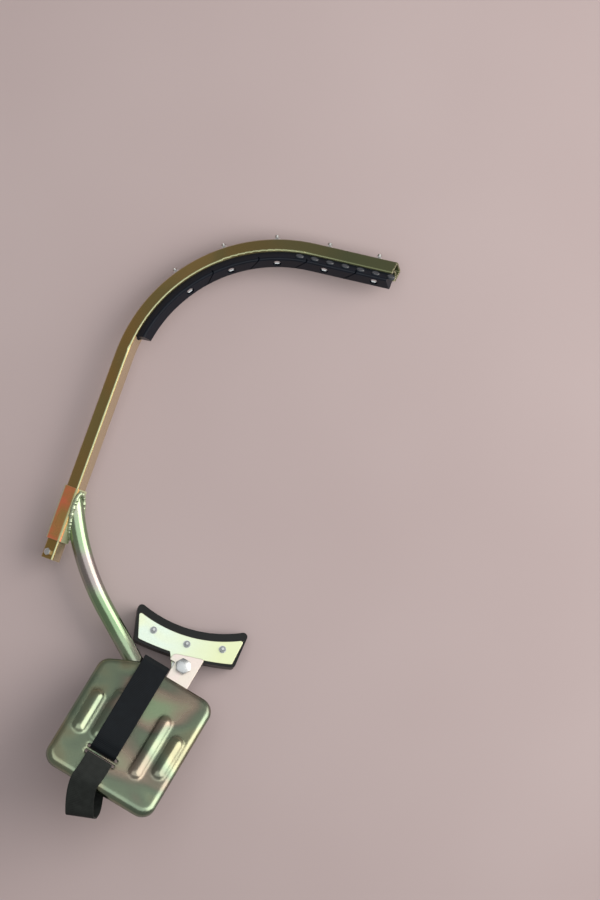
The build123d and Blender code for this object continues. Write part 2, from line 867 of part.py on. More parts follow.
with BuildPart() as pivot_nut:
    with Locations(lug_top.offset(-pivot_nut_top)):
        with Locations(Rotation(180, 0, 0)):
            add(hex_nut(pivot_head_across, pivot_nut_height, bolt_bore))

# The finished climber stands on its lowest points, with the origin under its middle
pieces = {
    "sleeve": sleeve.part,
    "sleeve_weld": sleeve_weld.part,
    "foot_tube": foot_tube.part,
    "foot_plate": foot_plate.part,
    "plate_welds": plate_welds.part,
    "bumper_lug": bumper_lug.part,
    "instep_strap": instep_strap.part,
    "heel_strap": heel_strap.part,
    "pivot_bolt": pivot_bolt_part.part,
    "pivot_bush": pivot_bush_part.part,
    "thrust_washer": thrust_washer_part.part,
    "pivot_washer": pivot_washer_part.part,
    "pivot_nut": pivot_nut.part,
    "hook_tube": hook_tube.part,
    "hook_lining": hook_lining.part,
    "hook_screws": hook_screws.part,
    "hook_washers": hook_washers.part,
    "hook_nuts": hook_nuts.part,
    "stop_bolt": stop_bolt_part.part,
    "stop_nut": stop_nut.part,
    "bumper_plate": bumper_plate.part,
    "bumper_rubber": bumper_rubber.part,
    "bumper_screws": bumper_screws.part,
    "bumper_washers": bumper_washers.part,
    "bumper_nuts": bumper_nuts.part,
}
boxes = [piece.bounding_box() for piece in pieces.values()]
low = Vector(
    min(box.min.X for box in boxes), min(box.min.Y for box in boxes), min(box.min.Z for box in boxes)
)
high = Vector(
    max(box.max.X for box in boxes), max(box.max.Y for box in boxes), max(box.max.Z for box in boxes)
)
stand = Vector(-(low.X + high.X) / 2, -(low.Y + high.Y) / 2, -low.Z)

os.makedirs("parts", exist_ok=True)
for name, piece in pieces.items():
    piece.label = name
    export_step(piece.moved(Location(stand)), f"parts/{name}.step")

print("size", high - low)
print("shift to the origin", stand)
print("pivot", stem_top.origin + stand, "axis", pivot_up)
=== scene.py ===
import bpy
import bmesh
import math
import random
from mathutils import Matrix, Vector


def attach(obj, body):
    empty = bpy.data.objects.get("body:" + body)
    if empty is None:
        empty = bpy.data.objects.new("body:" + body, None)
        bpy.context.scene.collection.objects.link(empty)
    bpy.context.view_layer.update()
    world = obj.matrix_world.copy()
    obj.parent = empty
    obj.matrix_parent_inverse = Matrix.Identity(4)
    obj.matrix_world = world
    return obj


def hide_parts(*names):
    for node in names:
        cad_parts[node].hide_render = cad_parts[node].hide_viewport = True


# Strap-on pole climber on a pale floor, seen from straight above.
# Blender's unit is the metre. Sizes are written in millimetres and multiplied by MM.
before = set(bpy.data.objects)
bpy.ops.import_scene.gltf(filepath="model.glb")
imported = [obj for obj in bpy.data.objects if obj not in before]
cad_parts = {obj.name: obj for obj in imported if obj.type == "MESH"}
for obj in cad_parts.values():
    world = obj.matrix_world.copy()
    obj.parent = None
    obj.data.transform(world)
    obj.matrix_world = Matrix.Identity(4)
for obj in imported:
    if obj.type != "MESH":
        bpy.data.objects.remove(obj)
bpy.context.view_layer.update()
MM = 0.001

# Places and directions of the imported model
PLATE_MIDDLE = Vector((0.029230, -0.261230, 0.088931))
PLATE_HEADING = math.radians(-11)
PLATE_TILT = math.radians(25)
PLATE_ACROSS = Vector((math.cos(PLATE_HEADING), math.sin(PLATE_HEADING), 0))
LEVEL_FRONT = Vector((-PLATE_ACROSS.y, PLATE_ACROSS.x, 0))
UP = Vector((0, 0, 1))
PLATE_FRONT = LEVEL_FRONT * math.cos(PLATE_TILT) - UP * math.sin(PLATE_TILT)
PLATE_NORMAL = LEVEL_FRONT * math.sin(PLATE_TILT) + UP * math.cos(PLATE_TILT)


def foot_point(across, ahead, up):
    """Point of the row frame from millimetres across, ahead of and above the foot plate's middle."""
    return PLATE_MIDDLE + (PLATE_ACROSS * across + PLATE_FRONT * ahead + PLATE_NORMAL * up) * MM


# Node helpers. A colour mix's sockets are found by their place, because three kinds share each name.
MIX_SHARE, MIX_FROM, MIX_TO = 0, 6, 7
MIX_RESULT = 2


def linear(code):
    """Linear colour with full alpha from an sRGB hex value."""
    channels = [int(code[start:start + 2], 16) / 255 for start in (0, 2, 4)]
    return [c / 12.92 if c <= 0.04045 else ((c + 0.055) / 1.055) ** 2.4 for c in channels] + [1.0]


def add_node(tree, kind, inputs=None, **settings):
    """Adds a node. An input is a plain value, or the output socket that is linked to it."""
    made = tree.nodes.new(kind)
    for name, value in settings.items():
        setattr(made, name, value)
    for key, value in (inputs or {}).items():
        if isinstance(value, bpy.types.NodeSocket):
            tree.links.new(value, made.inputs[key])
        else:
            made.inputs[key].default_value = value
    return made


def new_material(name, **shader_inputs):
    """Material with its shader, and the coordinates that its patterns read."""
    material = bpy.data.materials.new(name)
    material.use_nodes = True
    tree = material.node_tree
    tree.nodes.clear()
    shader = add_node(tree, "ShaderNodeBsdfPrincipled", shader_inputs)
    add_node(tree, "ShaderNodeOutputMaterial", {"Surface": shader.outputs["BSDF"]})
    place = add_node(tree, "ShaderNodeTexCoord")
    return material, tree, shader, place


# Yellow zinc: steel electroplated with zinc and dipped in chromate.
# The thin film gives drifting clouds of olive, gold, green and pink on a half-gloss metal,
# and the film is thin along the edges, where the paler zinc shows; that pale edge colour is partly a painted
# highlight.
# Colours mixed in by how far a face looks up are painted highlight and painted reflection.
def yellow_zinc(
    name, film, cloud_mm, roughness, metallic=1.0, edge_mm=0.9, round_mm=0.9, pale_edge_zinc_and_highlight="E9E6BE", painted_light_and_tint_shifts=()
):
    """Zinc with a chromate film. film lists the cloud colours from the noise's low to its high side.

    edge_mm is how far the paler zinc shows along an edge, partly wear and partly a painted highlight,
    and round_mm how far the pressed metal rounds it.
    drained lists colours mixed in by how far a face looks up, which is painted highlight and painted
    reflection, or by its X, a tint shift along the part, from the value where that starts to the value where
    it is full.
    """
    material, tree, shader, place = new_material(name, Metallic=metallic)
    grain_mm = 1.4
    clouds = add_node(
        tree,
        "ShaderNodeTexNoise",
        {
            "Vector": place.outputs["Object"],
            "Scale": 1 / (cloud_mm * MM),
            "Detail": 2.0,
            "Roughness": 0.45,
            "Distortion": 0.3,
        },
    )
    tint = add_node(tree, "ShaderNodeValToRGB", {"Fac": clouds.outputs["Fac"]})
    ramp = tint.color_ramp
    ramp.interpolation = "B_SPLINE"
    while len(ramp.elements) < len(film):
        ramp.elements.new(0.5)
    for element, (position, code) in zip(ramp.elements, film):
        element.position = position
        element.color = linear(code)
    grain = add_node(
        tree,
        "ShaderNodeTexNoise",
        {"Vector": place.outputs["Object"], "Scale": 1 / (grain_mm * MM), "Detail": 2.0},
    )
    mottle = add_node(
        tree,
        "ShaderNodeMapRange",
        {"Value": grain.outputs["Fac"], "From Min": 0.3, "From Max": 0.7, "To Min": 0.94, "To Max": 1.04},
    )
    mottled = add_node(
        tree,
        "ShaderNodeVectorMath",
        {0: tint.outputs["Color"], "Scale": mottle.outputs["Result"]},
        operation="SCALE",
    )
    film_and_painted_light = mottled.outputs["Vector"]
    surface = add_node(tree, "ShaderNodeNewGeometry")
    facing = add_node(tree, "ShaderNodeSeparateXYZ", {"Vector": surface.outputs["Normal"]})
    spot = add_node(tree, "ShaderNodeSeparateXYZ", {"Vector": place.outputs["Object"]})
    guides = {"up": facing.outputs["Z"], "x": spot.outputs["X"]}
    # Colours by facing paint highlight and reflection; colours by X shift the tint along the part.
    for guide, start, full, code in painted_light_and_tint_shifts:
        share = add_node(
            tree, "ShaderNodeMapRange", {"Value": guides[guide], "From Min": start, "From Max": full}
        )
        film_and_painted_light = add_node(
            tree,
            "ShaderNodeMix",
            {MIX_SHARE: share.outputs["Result"], MIX_FROM: film_and_painted_light, MIX_TO: linear(code)},
            data_type="RGBA",
        ).outputs[MIX_RESULT]
    edge = add_node(tree, "ShaderNodeBevel", {"Radius": edge_mm * MM}, samples=6)
    rounded = add_node(tree, "ShaderNodeBevel", {"Radius": round_mm * MM}, samples=8)
    turned_away = add_node(
        tree,
        "ShaderNodeVectorMath",
        {0: edge.outputs["Normal"], 1: surface.outputs["Normal"]},
        operation="DOT_PRODUCT",
    )
    # Pale zinc along the edges: partly wear of the thin film, partly a painted highlight.
    edge_wear_and_highlight = add_node(
        tree,
        "ShaderNodeMapRange",
        {
            "Value": turned_away.outputs["Value"],
            "From Min": 0.98,
            "From Max": 0.80,
            "To Min": 0.0,
            "To Max": 0.75,
        },
    )
    colour = add_node(
        tree,
        "ShaderNodeMix",
        {MIX_SHARE: edge_wear_and_highlight.outputs["Result"], MIX_FROM: film_and_painted_light, MIX_TO: linear(pale_edge_zinc_and_highlight)},
        data_type="RGBA",
    )
    tree.links.new(colour.outputs[MIX_RESULT], shader.inputs["Base Color"])
    gloss = add_node(
        tree,
        "ShaderNodeMapRange",
        {
            "Value": clouds.outputs["Fac"],
            "From Min": 0.3,
            "From Max": 0.7,
            "To Min": roughness - 0.04,
            "To Max": roughness + 0.06,
        },
    )
    tree.links.new(gloss.outputs["Result"], shader.inputs["Roughness"])
    peel = add_node(
        tree,
        "ShaderNodeBump",
        {
            "Height": grain.outputs["Fac"],
            "Strength": 0.10,
            "Distance": 0.15 * MM,
            "Normal": rounded.outputs["Normal"],
        },
    )
    tree.links.new(peel.outputs["Normal"], shader.inputs["Normal"])
    return material


hook_zinc = yellow_zinc(
    "yellow_zinc_drawn_square_tube",
    [(0.30, "A88A48"), (0.45, "B48E54"), (0.58, "968C58"), (0.72, "BC9A5E")],
    cloud_mm=110,
    roughness=0.26,
    metallic=0.8,
    edge_mm=1.6,
    # Painted reflection in beige on faces turned aside, painted highlight in pale green on faces looking up,
    # and a darker olive towards higher X.
    painted_light_and_tint_shifts=[
        ("up", 0.80, 0.62, "D2BEA2"),
        ("up", 0.88, 0.96, "CBD0A4"),
        ("x", -0.16, 0.08, "6A7052"),
    ],
)
sleeve_zinc = yellow_zinc(
    "yellow_zinc_cut_square_tube",
    [(0.32, "B6A05A"), (0.43, "F88A60"), (0.57, "FF866E"), (0.70, "C2A466")],
    cloud_mm=38,
    roughness=0.30,
    metallic=0.5,
    # Painted reflection in pale green on faces turned aside and painted light in olive on faces looking up.
    painted_light_and_tint_shifts=[("up", 0.80, 0.62, "CBD2AC"), ("up", 0.90, 0.98, "AEAE80")],
)
tube_zinc = yellow_zinc(
    "yellow_zinc_bent_round_tube",
    [(0.32, "8FAF86"), (0.46, "A2B898"), (0.58, "AE94A4"), (0.72, "86A87E")],
    cloud_mm=80,
    roughness=0.23,
)
plate_zinc = yellow_zinc(
    "yellow_zinc_pressed_sheet",
    [
        (0.32, "377472"),
        (0.40, "9A9072"),
        (0.48, "90A28A"),
        (0.56, "687B6B"),
        (0.63, "A89085"),
        (0.72, "8FAA89"),
    ],
    cloud_mm=85,
    roughness=0.23,
    edge_mm=1.4,
    round_mm=5.0,
    pale_edge_zinc_and_highlight="A9B49F",
)
bumper_zinc = yellow_zinc(
    "yellow_zinc_cut_flat_bar",
    [(0.34, "CEE1DB"), (0.47, "DAE0B6"), (0.60, "CEE1DB"), (0.72, "D4E1C9")],
    cloud_mm=60,
    roughness=0.30,
    painted_light_and_tint_shifts=[("x", 0.03, 0.10, "D0D9B1")],
)
lug_zinc = yellow_zinc(
    "yellow_zinc_cut_lug",
    [(0.35, "D8D2C6"), (0.50, "DACCC8"), (0.65, "D4D4C8")],
    cloud_mm=30,
    roughness=0.32,
)

# White zinc: small fasteners, barrel-plated and clear-dipped.
# They give a cold, bright metal with faint tumbling marks, greyer on the bolts and the bumper's nuts.
TUMBLE_MM = 0.8


def white_zinc(name, low, high):
    """Zinc with tumbling marks between two greys."""
    material, tree, shader, place = new_material(name, Metallic=1.0)
    tumble = add_node(
        tree,
        "ShaderNodeTexNoise",
        {"Vector": place.outputs["Object"], "Scale": 1 / (TUMBLE_MM * MM), "Detail": 2.0},
    )
    gloss = add_node(
        tree,
        "ShaderNodeMapRange",
        {"Value": tumble.outputs["Fac"], "From Min": 0.3, "From Max": 0.7, "To Min": 0.22, "To Max": 0.36},
    )
    tree.links.new(gloss.outputs["Result"], shader.inputs["Roughness"])
    tint = add_node(
        tree,
        "ShaderNodeMix",
        {MIX_SHARE: tumble.outputs["Fac"], MIX_FROM: linear(low), MIX_TO: linear(high)},
        data_type="RGBA",
    )
    tree.links.new(tint.outputs[MIX_RESULT], shader.inputs["Base Color"])
    return material


screw_zinc = white_zinc("white_zinc_plated_screw", "D2D8DA", "F2F4F4")
bolt_zinc = white_zinc("white_zinc_plated_bolt", "A4AAAD", "CED2D2")
nut_zinc = white_zinc("dull_zinc_plated_nut", "6E7476", "A0A6A6")

# Weld metal: mild steel beads, plated with the rest.
# The zinc lies bright on the ripples, and the chromate collects green in the hollows.
HOLLOW_MM = 1.5
weld_zinc, tree, shader, place = new_material("yellow_zinc_on_weld_metal", Metallic=1.0, Roughness=0.42)
hollow = add_node(tree, "ShaderNodeAmbientOcclusion", {"Distance": HOLLOW_MM * MM}, samples=8)
weld_tint = add_node(
    tree,
    "ShaderNodeMix",
    {MIX_SHARE: hollow.outputs["AO"], MIX_FROM: linear("7A8C60"), MIX_TO: linear("C2D2B4")},
    data_type="RGBA",
)
tree.links.new(weld_tint.outputs[MIX_RESULT], shader.inputs["Base Color"])

# Sintered bronze: warm, dull and finely porous
PORE_MM = 0.6
bush_bronze, tree, shader, place = new_material("sintered_bronze", Metallic=1.0, Roughness=0.42)
pores = add_node(
    tree, "ShaderNodeTexVoronoi", {"Vector": place.outputs["Object"], "Scale": 1 / (PORE_MM * MM)}
)
bronze_tint = add_node(
    tree,
    "ShaderNodeMix",
    {MIX_SHARE: pores.outputs["Distance"], MIX_FROM: linear("6E5230"), MIX_TO: linear("B08A54")},
    data_type="RGBA",
)
tree.links.new(bronze_tint.outputs[MIX_RESULT], shader.inputs["Base Color"])


# Vulcanised rubber: moulded black, with a matt, slightly dusty skin and a faint grey bloom
def moulded_rubber(name, deep, bloom, roughness, shine=0.35):
    """Rubber with a cloudy bloom and the fine grain of a cast mould."""
    bloom_mm = 22
    grain_mm = 0.7
    material, tree, shader, place = new_material(name, IOR=1.52)
    shader.inputs["Specular IOR Level"].default_value = shine
    cloud = add_node(
        tree,
        "ShaderNodeTexNoise",
        {"Vector": place.outputs["Object"], "Scale": 1 / (bloom_mm * MM), "Detail": 4.0, "Roughness": 0.6},
    )
    tint = add_node(
        tree,
        "ShaderNodeMix",
        {MIX_SHARE: cloud.outputs["Fac"], MIX_FROM: linear(deep), MIX_TO: linear(bloom)},
        data_type="RGBA",
    )
    tree.links.new(tint.outputs[MIX_RESULT], shader.inputs["Base Color"])
    gloss = add_node(
        tree,
        "ShaderNodeMapRange",
        {
            "Value": cloud.outputs["Fac"],
            "From Min": 0.3,
            "From Max": 0.7,
            "To Min": roughness - 0.06,
            "To Max": roughness + 0.08,
        },
    )
    tree.links.new(gloss.outputs["Result"], shader.inputs["Roughness"])
    grain = add_node(
        tree,
        "ShaderNodeTexNoise",
        {"Vector": place.outputs["Object"], "Scale": 1 / (grain_mm * MM), "Detail": 2.0},
    )
    skin = add_node(
        tree,
        "ShaderNodeBump",
        {"Height": grain.outputs["Fac"], "Strength": 0.25, "Distance": 0.2 * MM},
    )
    tree.links.new(skin.outputs["Normal"], shader.inputs["Normal"])
    return material


lining_rubber = moulded_rubber("moulded_rubber_lining", "040A13", "0C1624", 0.36, shine=0.25)
pad_rubber = moulded_rubber("moulded_rubber_pad", "05090A", "0D1414", 0.40, shine=0.25)
# Nubs: a paler, glossier grey than the lining; the paler colour is partly rubbed rubber and partly a painted
# glint.
nub_rubber = moulded_rubber("moulded_rubber_rubbed_painted_glint", "23282E", "474E56", 0.24, shine=0.7)

# Polypropylene webbing: woven black-blue yarn with ribs across it and a thicker selvedge.
# A real rib is about 1.1 mm and too fine to show, so it is drawn at 2 mm.
# The weave traps light, so its gloss is weak.
RIB_MM = 2.0
YARN_MM = 1.6
YARN_SHARE = 0.35
WEAVE_PEAK = 1 + YARN_SHARE
DUST_MM = 9


def woven_webbing(name, shade, yarn_colour, worn_colour):
    """Webbing with its yarn's shaded and lit colour and the colour that wear and dust give it."""
    material, tree, shader, place = new_material(name, IOR=1.49, Roughness=0.7)
    shader.inputs["Specular IOR Level"].default_value = 0.2
    shader.inputs["Sheen Weight"].default_value = 0.03
    shader.inputs["Sheen Roughness"].default_value = 0.4
    thread = add_node(tree, "ShaderNodeSeparateXYZ", {"Vector": place.outputs["UV"]})
    waves = []
    for direction, pitch_mm in (("X", YARN_MM), ("Y", RIB_MM)):
        turn = add_node(
            tree,
            "ShaderNodeMath",
            {0: thread.outputs[direction], 1: 2 * math.pi / (pitch_mm * MM)},
            operation="MULTIPLY",
        )
        waves.append(add_node(tree, "ShaderNodeMath", {0: turn.outputs["Value"]}, operation="SINE"))
    yarn_wave, rib_wave = waves
    weave = add_node(
        tree,
        "ShaderNodeMath",
        {0: yarn_wave.outputs["Value"], 1: YARN_SHARE, 2: rib_wave.outputs["Value"]},
        operation="MULTIPLY_ADD",
    )
    height = add_node(
        tree,
        "ShaderNodeMapRange",
        {"Value": weave.outputs["Value"], "From Min": -WEAVE_PEAK, "From Max": WEAVE_PEAK},
    )
    dust = add_node(
        tree,
        "ShaderNodeTexNoise",
        {"Vector": place.outputs["Object"], "Scale": 1 / (DUST_MM * MM), "Detail": 4.0},
    )
    yarn_tint = add_node(
        tree,
        "ShaderNodeMix",
        {MIX_SHARE: height.outputs["Result"], MIX_FROM: linear(shade), MIX_TO: linear(yarn_colour)},
        data_type="RGBA",
    )
    worn_tint = add_node(
        tree,
        "ShaderNodeMix",
        {
            MIX_SHARE: dust.outputs["Fac"],
            MIX_FROM: yarn_tint.outputs[MIX_RESULT],
            MIX_TO: linear(worn_colour),
        },
        data_type="RGBA",
    )
    tree.links.new(worn_tint.outputs[MIX_RESULT], shader.inputs["Base Color"])
    weave_bump = add_node(
        tree,
        "ShaderNodeBump",
        {"Height": height.outputs["Result"], "Strength": 0.6, "Distance": 0.35 * MM},
    )
    tree.links.new(weave_bump.outputs["Normal"], shader.inputs["Normal"])
    return material


instep_weave = woven_webbing("woven_polypropylene_webbing", "04080C", "0D1319", "121A20")
heel_weave = woven_webbing("woven_polypropylene_webbing_dusty", "0B0E0E", "1E2221", "303533")

# Floor: board with matt pinkish-grey paint, faintly uneven
PATCH_MM = 400
floor_paint, tree, shader, place = new_material("matt_painted_board", Roughness=0.85)
patch = add_node(
    tree,
    "ShaderNodeTexNoise",
    {"Vector": place.outputs["Object"], "Scale": 1 / (PATCH_MM * MM), "Detail": 2.0},
)
floor_tint = add_node(
    tree,
    "ShaderNodeMix",
    {MIX_SHARE: patch.outputs["Fac"], MIX_FROM: linear("B8A9AA"), MIX_TO: linear("C5B8B9")},
    data_type="RGBA",
)
tree.links.new(floor_tint.outputs[MIX_RESULT], shader.inputs["Base Color"])

# Modelling helpers
SMOOTH_BELOW = math.radians(35)


def start_piece(name):
    """Names the primitive that was just added and moves its place into its mesh."""
    piece = bpy.context.object
    piece.name = name
    bpy.ops.object.transform_apply(location=True, rotation=True, scale=True)
    return piece


def clear_selection():
    """Nothing selected, so that the next operator acts on the new piece alone."""
    bpy.ops.object.select_all(action="DESELECT")


def edit(piece, kind):
    """Edit mode with nothing selected, picking vertices, edges or faces."""
    bpy.ops.object.mode_set(mode="EDIT")
    bpy.ops.mesh.select_mode(type=kind)
    bpy.ops.mesh.select_all(action="DESELECT")
    return bmesh.from_edit_mesh(piece.data)


def pick(piece, kind, wanted):
    """Selects the edited piece's vertices, edges or faces that pass the test."""
    mesh = edit(piece, kind)
    parts = {"VERT": mesh.verts, "EDGE": mesh.edges, "FACE": mesh.faces}[kind]
    for part in parts:
        if wanted(part):
            part.select_set(True)
    bmesh.update_edit_mesh(piece.data)


def apply_modifier(piece, kind, **settings):
    """Adds a modifier and applies it."""
    modifier = piece.modifiers.new(kind.lower(), kind)
    for name, value in settings.items():
        setattr(modifier, name, value)
    bpy.context.view_layer.objects.active = piece
    bpy.ops.object.modifier_apply(modifier=modifier.name)


def copy_to(piece, places):
    """Joins copies of a piece, one for each place, into one object and removes the first."""
    copies = []
    for place in places:
        twin = piece.copy()
        twin.data = piece.data.copy()
        twin.data.transform(place)
        bpy.context.scene.collection.objects.link(twin)
        copies.append(twin)
    name = piece.name
    bpy.data.objects.remove(piece)
    clear_selection()
    for twin in copies:
        twin.select_set(True)
    bpy.context.view_layer.objects.active = copies[0]
    bpy.ops.object.join()
    copies[0].name = name
    return copies[0]


def finish_piece(piece, body, slot, material, *nodes):
    """Smooth faces, outward normals, a material, and the body and nodes that the piece belongs to."""
    bpy.context.view_layer.objects.active = piece
    clear_selection()
    piece.select_set(True)
    bpy.ops.object.mode_set(mode="EDIT")
    bpy.ops.mesh.select_all(action="SELECT")
    bpy.ops.mesh.normals_make_consistent(inside=False)
    bpy.ops.object.mode_set(mode="OBJECT")
    bpy.ops.object.shade_smooth_by_angle(angle=SMOOTH_BELOW)
    piece.data.materials.clear()
    piece.data.materials.append(material)
    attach(piece, body)
    if nodes:
        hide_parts(*nodes)


def axes(origin, x_axis, y_axis, z_axis):
    """Placing matrix with the given axes."""
    turn = Matrix((x_axis, y_axis, z_axis)).transposed()
    return Matrix.Translation(origin) @ turn.to_4x4()


# Webbing straps: strips laid row by row along their route, then thickened.
# The routes start and end under the plate and are written from the plate's middle.
STRAP_WIDTH = 34.0
STRAP_THICKNESS = 2.0
STRAP_COLUMNS = 4
STRAP_LEVELS = 3
STRAP_ROUNDING = 0.6
STRAP_CORNER = math.radians(50)


def webbing_strip(name, route):
    """Strip along a route of (across, ahead, up, turn): millimetres on the foot plate, and degrees."""
    points = [foot_point(*stop[:3]) for stop in route]
    first_step = points[1] - points[0]
    clear_selection()
    bpy.ops.mesh.primitive_grid_add(x_subdivisions=STRAP_COLUMNS, y_subdivisions=1, size=1.0)
    grid = bpy.context.object
    facing = PLATE_ACROSS.cross(first_step).normalized()
    grid.matrix_world = axes(
        (points[0] + points[1]) / 2, PLATE_ACROSS, first_step.normalized(), facing
    ) @ Matrix.Diagonal((STRAP_WIDTH * MM, first_step.length, 1, 1))
    strip = start_piece(name)
    pick(strip, "EDGE", lambda edge: all((v.co - points[1]).dot(first_step) > -1e-9 for v in edge.verts))
    for here, there, old, new in zip(points[1:], points[2:], route[1:], route[2:]):
        bpy.ops.mesh.extrude_edges_move(TRANSFORM_OT_translate={"value": there - here})
        if new[3] != old[3]:
            bpy.ops.transform.rotate(
                value=math.radians(old[3] - new[3]), orient_axis="Z", center_override=there
            )
    bpy.ops.object.mode_set(mode="OBJECT")
    lengths = [0.0]
    for here, there in zip(points, points[1:]):
        lengths.append(lengths[-1] + (there - here).length)
    weave = strip.data.uv_layers.active or strip.data.uv_layers.new(name="weave")
    for loop in strip.data.loops:
        row = loop.vertex_index // (STRAP_COLUMNS + 1)
        reach = strip.data.vertices[loop.vertex_index].co - points[row]
        across = math.copysign(reach.length, reach.dot(PLATE_ACROSS))
        weave.data[loop.index].uv = (across, lengths[row])
    apply_modifier(strip, "SUBSURF", levels=STRAP_LEVELS, render_levels=STRAP_LEVELS)
    apply_modifier(strip, "SOLIDIFY", thickness=STRAP_THICKNESS * MM, offset=0.0)
    apply_modifier(
        strip, "BEVEL", width=STRAP_ROUNDING * MM, segments=2, limit_method="ANGLE", angle_limit=STRAP_CORNER
    )
    return strip


STRAP_MIDDLE = -14.0
instep_route = [
    (30.8, -23.2), (13.8, -21.9), (-3.2, -20.6), (-23.2, -19.6), (-36.2, -17.6), (-42.2, -14.5),
    (-43.6, -9), (-43.6, -3), (-43.5, 0.4), (-42, 3.0), (-39.5, 4.6), (-36, 6.2), (-32.5, 8.4), (-28, 10.2),
    (-17, 11.4), (2, 12.1), (25, 12.2), (47, 11.9), (65, 10), (78.8, 6.8), (84.8, 4.9), (87.3, 3.6),
    (89.8, 1.2), (94.8, -4), (98.2, -8.5), (99.25, -13), (99.25, -18), (97.7, -23), (92.8, -26),
    (84.8, -26.4), (70.8, -26.4), (54.8, -26.5), (36.8, -26.0), (24.8, -25.2), (10.8, -24.1), (-1.2, -23.1),
]
instep_webbing = webbing_strip(
    "instep_webbing", [(STRAP_MIDDLE, ahead, up, 0) for ahead, up in instep_route]
)
heel_route = [
    (-5, -80, -34.0, 0), (-5, -74, -30, 0), (-9, -68, -26, 0), (-12.5, -59, -19.3, 0),
    (-14, -54, -14, 0), (-14, -51.6, -9, 0), (-14, -51.6, -3, 0), (-14, -51.7, 1, 0),
    (-14, -54, 3.6, 0), (-14, -60, 4, 0), (-14, -69, 3.9, 0), (-14.5, -77, 3.8, 0),
    (-15.5, -84, 2.6, 3), (-15.5, -90, -0.8, 7), (-12.5, -98, -8.5, 13), (-7, -108, -17, 18),
    (-1.5, -115, -23.5, 22), (0.5, -116.5, -28, 23), (2, -114.6, -33, 23), (3.5, -109, -42, 21),
    (3.8, -106, -44.6, 19), (4, -100.5, -45, 16), (3, -94.5, -44.4, 12), (0, -86, -40, 7),
    (-5, -75, -33, 3), (-9, -66, -27.2, 0),
]
heel_webbing = webbing_strip("heel_webbing", heel_route)


# Weld beads: one ripple is modelled, copied along the seam and fused
BEAD_PITCH = 2.0
BEAD_VOXEL = 0.4
SLEEVE_BEAD_RADIUS = 3.1
PLATE_BEAD_RADIUS = 2.6
RIPPLE_SQUASH = 0.62
RIPPLE_LEAN = 0.25
RIPPLE_SWELL = (0.85, 1.25)


def weld_ripple(name, radius_mm):
    """One flattened, leaning ripple of weld metal, its run along X."""
    clear_selection()
    bpy.ops.mesh.primitive_uv_sphere_add(segments=16, ring_count=10, radius=radius_mm * MM)
    ripple = start_piece(name)
    bpy.ops.object.mode_set(mode="EDIT")
    bpy.ops.mesh.select_all(action="SELECT")
    bpy.ops.transform.resize(value=(RIPPLE_SQUASH, 1.0, 1.0))
    bpy.ops.object.mode_set(mode="OBJECT")
    pick(ripple, "FACE", lambda face: face.normal.z > 0.3)
    bpy.ops.transform.translate(value=(RIPPLE_LEAN * radius_mm * MM, 0, 0))
    bpy.ops.object.mode_set(mode="OBJECT")
    return ripple


def weld_bead(name, radius_mm, seam):
    """Ripples along a seam of (point, run, outward), swollen unevenly and fused into one skin."""
    hand = random.Random(7)
    places = []
    for point, run, outward in seam:
        swell = hand.uniform(*RIPPLE_SWELL)
        places.append(axes(point, run, outward.cross(run), outward) @ Matrix.Scale(swell, 4))
    bead = copy_to(weld_ripple(name, radius_mm), places)
    apply_modifier(bead, "REMESH", mode="VOXEL", voxel_size=BEAD_VOXEL * MM)
    apply_modifier(bead, "SMOOTH", factor=0.5, iterations=2)
    return bead


# Seam of the sleeve: where the foot tube's skin meets the sleeve's lined side
HOOK_ROLL = math.radians(34)
LEG_X, LEG_Z = -0.131423, 0.0304162
SLEEVE_LOW_Y = -0.0793051
SLEEVE_HALF = 11.3
TUBE_DROP = 4.0
TUBE_UP_SLEEVE = 34.5
LINED_LEG = Vector((math.cos(HOOK_ROLL), 0, math.sin(HOOK_ROLL)))
NEAR_LEG = Vector((-math.sin(HOOK_ROLL), 0, math.cos(HOOK_ROLL)))
SLEEVE_SIDE = Vector((LEG_X, SLEEVE_LOW_Y, LEG_Z)) + LINED_LEG * SLEEVE_HALF * MM
TUBE_SEAT = SLEEVE_SIDE - NEAR_LEG * TUBE_DROP * MM + Vector((0, TUBE_UP_SLEEVE * MM, 0))
TUBE_RADIUS = 11.0
TUBE_HEADING = math.radians(-63)
TUBE_BEND = 310.0
SEAM_REACH = 80.0
SEAM_HALVINGS = 40
SEAM_LIFT = 0.8
SEAM_SPLAY = 0.6


def tube_skin(run_mm, angle):
    """Point on the foot tube's skin near the sleeve."""
    turn = TUBE_HEADING + max(run_mm, 0) / TUBE_BEND
    ahead = Vector((math.cos(TUBE_HEADING), math.sin(TUBE_HEADING), 0))
    left = Vector((-ahead.y, ahead.x, 0))
    side = Vector((math.sin(turn), -math.cos(turn), 0))
    if run_mm > 0:
        middle = TUBE_SEAT + (left + side) * TUBE_BEND * MM
    else:
        middle = TUBE_SEAT + ahead * run_mm * MM
    return middle + (side * math.cos(angle) + UP * math.sin(angle)) * TUBE_RADIUS * MM


def seam_point(angle):
    """Where one line of the tube's skin reaches the sleeve's side."""
    low, high = -SEAM_REACH, SEAM_REACH
    for _ in range(SEAM_HALVINGS):
        middle = (low + high) / 2
        if (tube_skin(middle, angle) - SLEEVE_SIDE).dot(LINED_LEG) < 0:
            low = middle
        else:
            high = middle
    return tube_skin(low, angle)


def spaced(points, pitch):
    """Points at an even pitch along a line of close points, with the run at each."""
    stops = []
    left_over = 0.0
    for here, there in zip(points, points[1:]):
        step = (there - here).length
        while left_over <= step:
            stops.append((here.lerp(there, left_over / step), (there - here).normalized()))
            left_over += pitch
        left_over -= step
    return stops


